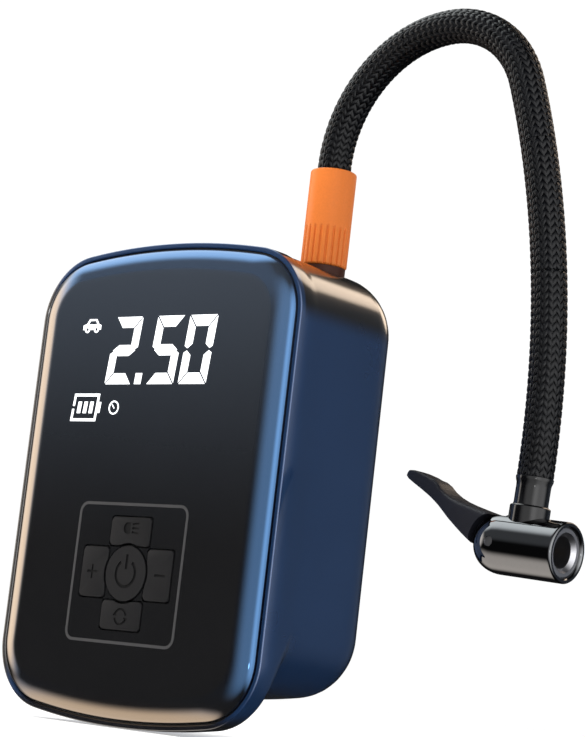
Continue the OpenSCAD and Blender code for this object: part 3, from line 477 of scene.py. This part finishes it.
def arm_outline(side, grow=0.0):
    """Outline of an outer button as (x, z): a rounded rectangle scooped out round the power button."""
    lo, hi = span(ARMS[side])
    upright = side % 2 == 0
    width = (hi[0] - lo[0]) if upright else (hi[2] - lo[2])
    deep = (hi[2] - lo[2]) if upright else (hi[0] - lo[0])
    far = max(abs(hi[2] - pad_z), abs(lo[2] - pad_z)) if upright else max(abs(hi[0]), abs(lo[0]))
    x1, z0, z1 = width / 2 + grow, far - deep - grow, far + grow
    scoop = power_r + moat - grow
    xc = math.sqrt(max(0.01, scoop ** 2 - z0 ** 2))
    a = math.degrees(math.atan2(z0, xc))
    r = arm_corner
    pts = (arc(x1 - r, z0 + r, r, -90, 0, 7) + arc(x1 - r, z1 - r, r, 0, 90, 7)
           + arc(-x1 + r, z1 - r, r, 90, 180, 7) + arc(-x1 + r, z0 + r, r, 180, 270, 7)
           + arc(0, 0, scoop, 180 - a, a, 13))
    turn = math.radians(90 * side)
    return [(x * math.cos(turn) - z * math.sin(turn), x * math.sin(turn) + z * math.cos(turn) + pad_z)
            for x, z in pts]


rings = [ring(seam_y - (seam_y - face_y) * math.sin(math.radians(a)), cover_w, cover_lo[2], cover_hi[2],
              cover_r, cover_round * (1 - math.cos(math.radians(a)))) for a in np.linspace(90, 0, 15)]
rings += [ring(y, cover_w, cover_lo[2], cover_hi[2], cover_r, 7) for y in (seam_y, face_y + cover_wall)]
cover = dress(loft("front_cover", rings, sharp=28), "cover_black")
cuts = [prism("cut", arc(0, pad_z, power_r + button_gap, 0, 360, 97)[:-1], face_y - 5, seam_y + 5)]
cuts += [prism("cut", arm_outline(side, button_gap), face_y - 5, seam_y + 5) for side in ARMS]
for cut in cuts:
    dress(cut, "cover_black")
combine(cover, cuts, sharp=28)
part(cover, "housing", "cover_black", "front_plate")

# --- Buttons ------------------------------------------------------------------

mark_depth = 0.22
mark_w = 0.62


def stroke(outline_pts, y):
    return dress(prism("cut", outline_pts, y - 1, y + mark_depth), "mark_black")


def bar(x0, z0, x1, z1, w, y):
    """Straight engraved stroke between two points."""
    dx, dz = x1 - x0, z1 - z0
    size = math.hypot(dx, dz)
    nx, nz = -dz / size * w / 2, dx / size * w / 2
    return stroke([(x0 + nx, z0 + nz), (x0 - nx, z0 - nz), (x1 - nx, z1 - nz), (x1 + nx, z1 + nz)], y)


def hoop(cx, cz, r, w, a0, a1, y):
    """Curved engraved stroke."""
    return stroke(arc(cx, cz, r + w / 2, a0, a1, 41) + arc(cx, cz, r - w / 2, a1, a0, 41), y)


def button(name, body, outline_pts, marks):
    lo, hi = span(body + "_button")
    obj = dress(prism(name, outline_pts, lo[1], hi[1], soft=0.3), "button_black")
    combine(obj, [m for m in marks(lo[1])])
    return part(obj, body, "button_black", body + "_button")


def centre(side):
    lo, hi = span(ARMS[side])
    mid = (lo + hi) / 2
    return mid[0], mid[2]


def power_marks(y):
    return [hoop(0, pad_z, 3.5, 0.85, 125, 415, y), bar(0, pad_z + 1.1, 0, pad_z + 5.0, 0.85, y)]


def plus_marks(y):
    x, z = centre(1)
    x -= 0.6
    return [stroke([(x - 1.9, z - 0.3), (x - 0.3, z - 0.3), (x - 0.3, z - 1.9), (x + 0.3, z - 1.9),
                    (x + 0.3, z - 0.3), (x + 1.9, z - 0.3), (x + 1.9, z + 0.3), (x + 0.3, z + 0.3),
                    (x + 0.3, z + 1.9), (x - 0.3, z + 1.9), (x - 0.3, z + 0.3), (x - 1.9, z + 0.3)], y)]


def minus_marks(y):
    x, z = centre(3)
    return [bar(x - 1.3, z, x + 2.5, z, mark_w, y)]


def mode_marks(y):
    """Two arcs that chase each other round a circle."""
    x, z = centre(2)
    z -= 0.3
    heads = [stroke([(x + 1.2, z - 0.2), (x + 2.8, z - 0.2), (x + 2.0, z - 1.4)], y),
             stroke([(x - 1.2, z + 0.2), (x - 2.8, z + 0.2), (x - 2.0, z + 1.4)], y)]
    return [hoop(x, z, 2.0, mark_w, 10, 150, y), hoop(x, z, 2.0, mark_w, 190, 330, y)] + heads


def light_marks(y):
    """Lamp with three rays."""
    x, z = centre(0)
    z += 0.9
    lamp = stroke(arc(x - 1.2, z, 1.5, 90, 270, 15) + [(x - 0.2, z - 1.5), (x - 0.2, z + 1.5)], y)
    rays = [bar(x + 0.5, z + k * 1.05, x + 2.9, z + k * 1.35, 0.5, y) for k in (-1, 0, 1)]
    return [lamp] + rays


button("power_cap", "power", arc(0, pad_z, power_r, 0, 360, 97)[:-1], power_marks)
button("light_cap", "light", arm_outline(0), light_marks)
button("plus_cap", "plus", arm_outline(1), plus_marks)
button("mode_cap", "mode", arm_outline(2), mode_marks)
button("minus_cap", "minus", arm_outline(3), minus_marks)

# --- Hose collar --------------------------------------------------------------

rib_count = 22
rib_top = collar_lo[2] + 10.8
rib_deep = 0.42


def grooves(turn, r, z):
    """Depth of the grip grooves at an angle, outside the collar's lower part only."""
    if r < collar_r - 1.0 or z > rib_top:
        return 0
    wave = np.cos(turn * rib_count)
    return rib_deep * np.clip((wave - 0.35) / 0.5, 0, 1) * min(1.0, math.sqrt(max(0, rib_top - z) / 1.1))


stub_z = collar_lo[2] + 12         # where the hose's braid begins inside
thread_l, washer_t, flange_t = 5.4, 1.2, 1.8
flange_top = collar_lo[2] + thread_l + washer_t + flange_t + 0.1
thread_r, stem_r, hose_bore = 4.08, 2.3, 4.72
soft = 0.6
outer = [(collar_r - soft + soft * math.sin(a), collar_lo[2] + soft - soft * math.cos(a))
         for a in np.linspace(0, math.pi / 2, 5)]
outer += [(collar_r, z) for z in np.linspace(collar_lo[2] + 1.2, rib_top - 1.4, 12)]
outer += [(collar_r, z) for z in np.linspace(rib_top - 1.2, rib_top + 0.2, 9)]
outer += [(collar_r, z) for z in np.linspace(rib_top + 1, collar_hi[2] - soft, 6)]
outer += [(collar_r - soft + soft * math.cos(a), collar_hi[2] - soft + soft * math.sin(a))
          for a in np.linspace(0, math.pi / 2, 5)[1:]]
profile = outer + [(hose_bore, collar_hi[2]), (hose_bore, stub_z - 0.3), (stem_r, stub_z - 0.3),
                   (stem_r, flange_top), (thread_r, flange_top), (thread_r, collar_lo[2])]
place = Matrix.Translation((outlet[0], outlet[1], 0))
collar = lathe("collar_sleeve", profile, n=rib_count * 12, place=place, flute=grooves, sharp=42)
part(collar, "collar", "collar_orange", "hose_collar")

# --- Hose ---------------------------------------------------------------------

joints = [joint_at("hose_bend_%d" % i) for i in range(1, 6)]
straight = 1.2    # straight length above the collar
hose_start = np.array([outlet[0], outlet[1], collar_hi[2] + straight])
hose_r = 4.6
bend_a_r = joints[1][0] - hose_start[0]
turn_b, turn_c, split_c = 70, 24, 8    # degrees of the second and third bend, and between its joints
bend_b_r = np.linalg.norm(joints[2] - joints[1]) / 2 / math.sin(math.radians(turn_b / 2))
bend_c_r = np.linalg.norm(joints[3] - joints[2]) / 2 / math.sin(math.radians(split_c / 2))
lead = 4.0        # length inside the collar
ARCS = [(bend_a_r, 90), (bend_b_r, turn_b), (bend_c_r, turn_c)]
lengths = [lead] + [r * math.radians(t) for r, t in ARCS]
hose_len = sum(lengths)
marks = np.cumsum([0] + lengths)


def heading_at(s):
    """Heading from straight up, in radians, at a length along the hose."""
    return np.interp(s, marks, np.radians([0, 0, 90, 90 + turn_b, 90 + turn_b + turn_c]))


def line_at(s):
    """Points of the hose's centre line at lengths s."""
    s = np.asarray(s, float)
    at = np.zeros((len(s), 3))
    p = hose_start - np.array([0, 0, lead])
    for k in range(4):
        d = np.clip(s - marks[k], 0, lengths[k])
        h = heading_at(marks[k])
        if k == 0:
            at += np.stack([0 * d, 0 * d, d], 1)
            continue
        r = ARCS[k - 1][0]
        turned = h + d / r
        at += np.stack([r * (np.cos(h) - np.cos(turned)), 0 * d, r * (np.sin(turned) - np.sin(h))], 1)
    return at + p


def on_hose(s, turn, r):
    """Points at length s, angle turn and radius r round the hose."""
    h = heading_at(s)
    side = np.stack([np.cos(h), 0 * h, -np.sin(h)], 1)
    across = np.array([0, 1, 0])
    return line_at(s) + (r * np.cos(turn))[:, None] * side + (r * np.sin(turn))[:, None] * across


strands = 24
pitch = 45.6      # length of one turn of a strand
strand_w = 1.02
strand_t = 0.34
weave = 0.21      # how far a strand rises and dips
weave_r = hose_r - strand_t / 2 - weave
core_r = hose_r - 2 * weave - strand_t - 0.02
core_n = 40       # points round the core
section = [(math.cos(a), math.sin(a)) for a in np.linspace(0, 2 * math.pi, 6, endpoint=False)]


def over(turn):
    """1 where right-hand strands are on top, -1 where they are below, in 24 columns."""
    return np.clip(1.5 * np.sin(strands / 2 * turn), -1, 1)


def strand(s0, s1, number, hand, step=0.62):
    """Closed ribbon that winds round the hose between two lengths."""
    count = max(3, int((s1 - s0) / step * 1.18))
    s = np.linspace(s0, s1, count)
    turn = 2 * math.pi * (number + (0.25 if hand > 0 else 0.75)) / strands + hand * 2 * math.pi * s / pitch
    r = weave_r + hand * weave * over(turn)
    slope = math.atan2(2 * math.pi * hose_r, pitch) * hand
    verts = np.zeros((count, len(section), 3))
    for k, (across, up) in enumerate(section):
        off = across * strand_w / 2
        along = np.clip(s - off * math.sin(slope), s0, s1)
        rise = up * strand_t / 2 * (0.75 if up < 0 else 1)
        verts[:, k] = on_hose(along, turn + off * math.cos(slope) / hose_r, r + rise)
    return verts.reshape(-1, 3), count


def hose_piece(name, s0, s1):
    """A length of braided hose: a core and two families of strands woven over and under each other."""
    turn = np.linspace(0, 2 * math.pi, core_n, endpoint=False)
    s = np.linspace(s0, s1, max(8, int((s1 - s0) / 1.5)))
    core = np.concatenate([on_hose(np.full(core_n, v), turn, np.full(core_n, core_r)) for v in s])
    verts, faces, base = [core], [ring_faces(len(s), core_n)], len(core)
    caps = [tuple(range(core_n))[::-1], tuple(range(len(core) - core_n, len(core)))]
    n = len(section)
    for hand in (1, -1):
        for number in range(strands):
            v, count = strand(s0, s1, number, hand)
            verts.append(v)
            faces.append(ring_faces(count, n) + base)
            caps += [tuple(base + np.arange(n))[::-1], tuple(base + (count - 1) * n + np.arange(n))]
            base += len(v)
    mesh = bpy.data.meshes.new(name)
    quads = [tuple(f) for f in np.concatenate(faces).tolist()]
    mesh.from_pydata((np.concatenate(verts) / 1000).tolist(), [], quads + [tuple(map(int, c)) for c in caps])
    obj = tidy(from_mesh(name, mesh), 75)
    return dress(obj, "hose_braid")


joint_s = [marks[1] + bend_a_r * math.radians(45), marks[2], marks[3],
           marks[3] + bend_c_r * math.radians(split_c), marks[3] + bend_c_r * math.radians(2 * split_c)]
cut_s = [0.0] + [(a + b) / 2 for a, b in zip(joint_s, joint_s[1:])] + [float(hose_len)]
bend_len = 11.0   # half a length along the hose round each joint
for i, s in enumerate(joint_s):
    piece = hose_piece("hose_braid_%d" % (i + 1), cut_s[i], cut_s[i + 1])
    ends = line_at(np.clip([s - bend_len, s + bend_len], cut_s[i] + 0.3, cut_s[i + 1] - 0.3)) / 1000
    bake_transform(piece)
    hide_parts("hose_%d" % (i + 1), *(["hose_6"] if i == 4 else []))

# --- Chuck --------------------------------------------------------------------

hose_end = line_at([hose_len])[0]
lean = math.radians(90 + turn_b + turn_c - 180)
# the chuck's frame: +X to the mouth, +Z up the hose
chuck_frame = Matrix.Translation(hose_end) @ Matrix.Rotation(lean, 4, "Y")
to_chuck = chuck_frame.inverted()
chuck_r, chuck_l = 7.5, 26
axis_z = -16.2
mouth_x = 12.8
tail_x = mouth_x - chuck_l
pivot = to_chuck @ Vector(joint_at("lever_lift"))
sleeve_r, sleeve_l, sleeve_in = 5.95, 8, 0.8
seal_t = 2.4
air_r, crimp_r, ring_r = 1.2, 4.3, 5.05
ring_z = axis_z + chuck_r + 0.12
ring_top = -6.3
ring_foot = ring_z - 2.4

profile = ([(air_r, -0.05), (3.4, -0.05), (3.9, 0.7)] + arc(crimp_r + 0.15, 0.9, 0.25, 180, 0, 6)
           + [(4.62, 0.2), (crimp_r + 0.04, -0.6), (crimp_r, -1.4), (crimp_r, -5.5), (crimp_r + 0.1, -5.95)]
           + arc(ring_r - 0.4, ring_top - 0.2, 0.4, 60, 0, 6)
           + [(ring_r, ring_z + 0.45), (ring_r, ring_foot), (air_r, ring_foot)])
ferrule = lathe("ferrule_sleeve", profile, n=72, place=chuck_frame)
saddle = [chuck_frame @ Vector((x, 0, axis_z)) for x in (-12, 12)]
combine(dress(ferrule, "ferrule_black"), [dress(rod("cut", *saddle, chuck_r + 0.03, 128), "ferrule_black")])
part(ferrule, "hose_link_6", "ferrule_black", "hose_ferrule")

along = chuck_frame @ Matrix.Translation((0, 0, axis_z)) @ Matrix.Rotation(math.pi / 2, 4, "Y")
tail = [(chuck_r * math.cos(math.radians(a)) ** 0.75, pivot[0] - chuck_r * math.sin(math.radians(a)))
        for a in np.linspace(0, 88, 14)]
head_r, pin_r = 3.6, 1.26
bore_x = mouth_x - sleeve_in - sleeve_l - seal_t - 0.1
core_bore, vent_r, mouth_round = 3.26, 0.6, 0.55
head_end = pivot[0] + head_r + 0.5
profile = ([(vent_r, tail_x)] + [(r, x) for r, x in tail[::-1]]
           + [(chuck_r, x) for x in (-4, 2, 8)] + [(chuck_r, mouth_x - 1.0)]
           + arc(chuck_r - mouth_round, mouth_x - mouth_round, mouth_round, 0, 90, 6)
           + [(6.5, mouth_x), (6.2, mouth_x - 0.3), (sleeve_r, mouth_x - 0.7), (sleeve_r, bore_x)]
           + [(core_bore, bore_x), (core_bore, head_end), (vent_r, head_end)])
chuck = dress(lathe("chuck_shell", profile, n=128, place=along, sharp=38), "chrome")
slot_y = 3.1      # half width of the lever's slot


def in_chuck(name, lo, hi):
    """Box in the chuck's frame."""
    obj = boxed(name, lo, hi)
    obj.data.transform(Matrix.Scale(1000, 4))
    obj.data.transform(chuck_frame)
    obj.data.transform(Matrix.Scale(0.001, 4))
    return obj


slot_lo, slot_hi = (tail_x - 1, -slot_y, axis_z - 5), (pivot[0] + 1, slot_y, axis_z + 11)
cuts = [dress(in_chuck("cut", slot_lo, slot_hi), "chrome")]
ends = [chuck_frame @ Vector((pivot[0], k * slot_y, axis_z)) for k in (-1, 1)]
cuts.append(dress(rod("cut", ends[0], ends[1], head_r + 0.4, 72), "chrome"))
ends = [chuck_frame @ Vector((pivot[0], k * (chuck_r + 1), axis_z)) for k in (-1, 1)]
cuts.append(dress(rod("cut", ends[0], ends[1], pin_r, 40), "chrome"))
combine(chuck, cuts, sharp=38)
part(chuck, "hose_link_6", "chrome", "chuck_body")

# --- Lever --------------------------------------------------------------------

lever_a = math.radians(24.7)
lever_frame = (chuck_frame @ Matrix.Translation(pivot) @ Matrix.Rotation(lever_a, 4, "Y")
               @ Matrix.Scale(-1, 4, (1, 0, 0)))
# u along the blade: half width, underside and top
BLADE = [(4.5, 5.5, -4.2, 5.0), (6.6, 5.5, -4.0, 4.8), (8, 5.5, -3.85, 4.45), (10, 5.5, -3.6, 3.95),
         (13, 5.4, -3.1, 3.25), (15.5, 5.2, -2.7, 2.7), (18, 4.8, -2.2, 2.3), (20.5, 4.4, -1.7, 2.15),
         (22.8, 4.0, -1.45, 2.4), (24.6, 3.8, -1.3, 2.95), (26.3, 3.6, -1.25, 3.05), (27.6, 3.5, -1.2, 2.75),
         (29.4, 3.3, -1.2, 2.6), (32, 3.0, -1.2, 2.1), (34, 2.7, -1.15, 1.5), (35.2, 2.1, -0.95, 0.9),
         (36.0, 1.1, -0.6, 0.3)]


def blade_section(u, half, low, high, n=40, square=0.34):
    turn = np.linspace(0, 2 * math.pi, n, endpoint=False)
    c, s = np.cos(turn), np.sin(turn)
    y = half * np.sign(c) * np.abs(c) ** square
    v = (high + low) / 2 + (high - low) / 2 * np.sign(s) * np.abs(s) ** square
    return np.stack([np.full(n, u), y, v], 1)


us = np.array([b[0] for b in BLADE])
fine_u = np.unique(np.concatenate([np.linspace(us[0], us[-1], 44), us]))
columns = [[b[k] for b in BLADE] for k in (1, 2, 3)]
rings = [blade_section(u, *[float(np.interp(u, us, column)) for column in columns]) for u in fine_u]
blade = loft("lever_blade", rings, sharp=24)
hub_y = slot_y - 0.2
hub = rod("hub", (0, -hub_y, 0), (0, hub_y, 0), head_r, 72)
neck = boxed("neck", (0.5, -hub_y, -3.4), (9.5, hub_y, 2.2))
for obj in (blade, hub, neck):
    dress(obj, "lever_black")
combine(blade, [dress(rod("cut", (0, -8, 0), (0, 8, 0), chuck_r + 0.15, 160), "lever_black")], sharp=24)
combine(blade, [hub, neck], "UNION", sharp=24)
combine(blade, [dress(rod("cut", (0, -5, 0), (0, 5, 0), pin_r + 0.05, 40), "lever_black")], sharp=24)
scale = Matrix.Scale(1000, 4)
blade.data.transform(scale.inverted() @ lever_frame @ scale)
tidy(blade, 24)
part(blade, "lever", "lever_black", "chuck_lever")

# --- CAD nodes that are shown as they are -------------------------------------

# two nodes take a look of their own, the others their material slot's; the port nut's is a painted shade with the
# collar's orange reflection in it
SHOWN_AS = {"jaw_sleeve": "screw_steel", "port_nut": "nut_painted_shade"}
for entry in frame["record"]["subparts"]:
    obj = frame["nodes"][entry["node"]]
    if not obj.hide_render:
        dress(obj, SHOWN_AS.get(entry["node"], entry["material_slot"]))
        obj.data.shade_smooth()
        obj.data.set_sharp_from_angle(angle=math.radians(30))

# --- Camera -------------------------------------------------------------------

view_az, view_el, view_roll = math.radians(41.19), math.radians(-8.27), math.radians(6.59)
view_dist = 0.63
aim = Vector((0.0072, -0.0017, 0.0390))
back = Vector((math.sin(view_az) * math.cos(view_el), -math.cos(view_az) * math.cos(view_el),
               math.sin(view_el)))
camera = bpy.data.objects.new("camera", bpy.data.cameras.new("camera"))
bpy.context.scene.collection.objects.link(camera)
level = (-back).cross(Vector((0, 0, 1))).normalized()
right = level * math.cos(view_roll) + level.cross(-back) * math.sin(view_roll)
up = right.cross(-back)
turned = Matrix((right, up, back)).transposed().to_4x4()
camera.matrix_world = Matrix.Translation(aim + back * view_dist) @ turned
camera.data.lens = 109.31
camera.data.sensor_width = 36
camera.data.clip_start, camera.data.clip_end = 0.01, 20
bpy.context.scene.camera = camera

# --- Floor and light ----------------------------------------------------------

floor_z = case_lo[2] / 1000 - 0.0002
reach = 6
corners = [(-reach, -reach), (reach, -reach), (reach, reach), (-reach, reach)]
mesh = bpy.data.meshes.new("floor")
mesh.from_pydata([(x, y, floor_z) for x, y in corners], [], [(0, 1, 2, 3)])
floor = from_mesh("floor", mesh)
paper = finish("floor_paper", (245, 245, 245), glow=((255, 255, 255), 0.4), rough=0.9, grain=40,
               tint=0.01, relief=0, spec=0.0)
floor.data.materials.append(paper)
floor.visible_glossy = False

BACKDROP = 1.03
AMBIENT = 0.66
# boxes of light that only reflections see: direction, inner and outer angle, colour, strength
SOFTBOXES = [
    ((-0.60, -0.70, 0.60), 8, 30, (0.9, 0.95, 1.0), 0.22),      # faint glow on the upper face
    ((0.98, -0.10, 0.10), 10, 58, (1.0, 1.0, 1.0), 2.2),        # along the right edge
    ((0.45, -0.88, 0.10), 2, 58, (1.0, 1.0, 1.0), 1.15),        # its fall-off towards the face
    ((-0.65, 0.01, 0.76), 6, 36, (0.95, 1.0, 1.0), 3.2),        # along the top edge
    ((-0.95, -0.27, 0.14), 3, 25, (1.0, 0.93, 0.86), 3.2),      # strip on the left edge
    ((-0.65, -0.14, -0.745), 8, 41, (1.0, 0.91, 0.82), 1.9),    # glow under the cover
    ((0.04, 0.745, 0.665), 5, 14, (1.0, 0.80, 0.62), 3.7),      # warm strip over the housing's corner
    ((-0.09, 0.91, 0.40), 4, 12, (1.0, 0.80, 0.62), 3.2),       # and on down its back edge
    ((0.652, -0.745, -0.10), 2, 4, (1.0, 1.0, 1.0), 9.0),       # thin line on the crimp sleeve
    ((0.45, 0.88, 0.10), 14, 44, (0.7, 0.82, 1.0), 0.12),       # dull blue behind the right side
]
world = bpy.data.worlds.new("studio")
bpy.context.scene.world = world
world.use_nodes = True
nodes, links = world.node_tree.nodes, world.node_tree.links
nodes.clear()

way = nodes.new("ShaderNodeTexCoord").outputs["Generated"]
studio = nodes.new("ShaderNodeRGB").outputs[0]
studio.default_value = (0.016, 0.016, 0.017, 1)
for direction, inner, outer_angle, colour, strength in SOFTBOXES:
    dot = nodes.new("ShaderNodeVectorMath")
    dot.operation = "DOT_PRODUCT"
    dot.inputs[1].default_value = Vector(direction).normalized()
    links.new(way, dot.inputs[0])
    soft_edge = nodes.new("ShaderNodeMapRange")
    soft_edge.interpolation_type = "SMOOTHERSTEP"
    soft_edge.inputs["From Min"].default_value = math.cos(math.radians(outer_angle))
    soft_edge.inputs["From Max"].default_value = math.cos(math.radians(inner))
    links.new(dot.outputs["Value"], soft_edge.inputs["Value"])
    glow = nodes.new("ShaderNodeMix")
    glow.data_type = "RGBA"
    glow.blend_type = "ADD"
    glow.inputs["B"].default_value = tuple(c * strength for c in colour) + (1,)
    links.new(soft_edge.outputs["Result"], glow.inputs["Factor"])
    links.new(studio, glow.inputs["A"])
    studio = glow.outputs["Result"]

path = nodes.new("ShaderNodeLightPath")


def background(colour, strength=1.0):
    node = nodes.new("ShaderNodeBackground")
    node.inputs["Strength"].default_value = strength
    if isinstance(colour, tuple):
        node.inputs["Color"].default_value = colour
    else:
        links.new(colour, node.inputs["Color"])
    return node.outputs[0]


def choose(factor, a, b):
    node = nodes.new("ShaderNodeMixShader")
    links.new(factor, node.inputs[0])
    links.new(a, node.inputs[1])
    links.new(b, node.inputs[2])
    return node.outputs[0]


seen = choose(path.outputs["Is Glossy Ray"], background((1, 1, 1, 1), AMBIENT), background(studio))
seen = choose(path.outputs["Is Camera Ray"], seen, background((1, 1, 1, 1), BACKDROP))
links.new(seen, nodes.new("ShaderNodeOutputWorld").inputs[0])


def lamp(name, at, size, power, colour=(1, 1, 1)):
    light = bpy.data.lights.new(name, "AREA")
    light.shape, light.size, light.size_y = "RECTANGLE", size[0], size[1]
    light.energy, light.color = power, colour
    obj = bpy.data.objects.new(name, light)
    bpy.context.scene.collection.objects.link(obj)
    obj.location = at
    obj.rotation_mode = "QUATERNION"
    obj.rotation_quaternion = (Vector((0.02, 0, 0.03)) - Vector(at)).to_track_quat("-Z", "Y")
    obj.visible_glossy = False
    return obj


lamp("key", (-0.6, -0.9, 1.0), (0.8, 0.8), 15.0, (1.0, 0.99, 0.97))
lamp("side", (1.1, -0.1, 0.5), (0.5, 0.9), 0.5, (0.9, 0.95, 1.0))
bpy.context.scene.view_settings.view_transform = "Standard"
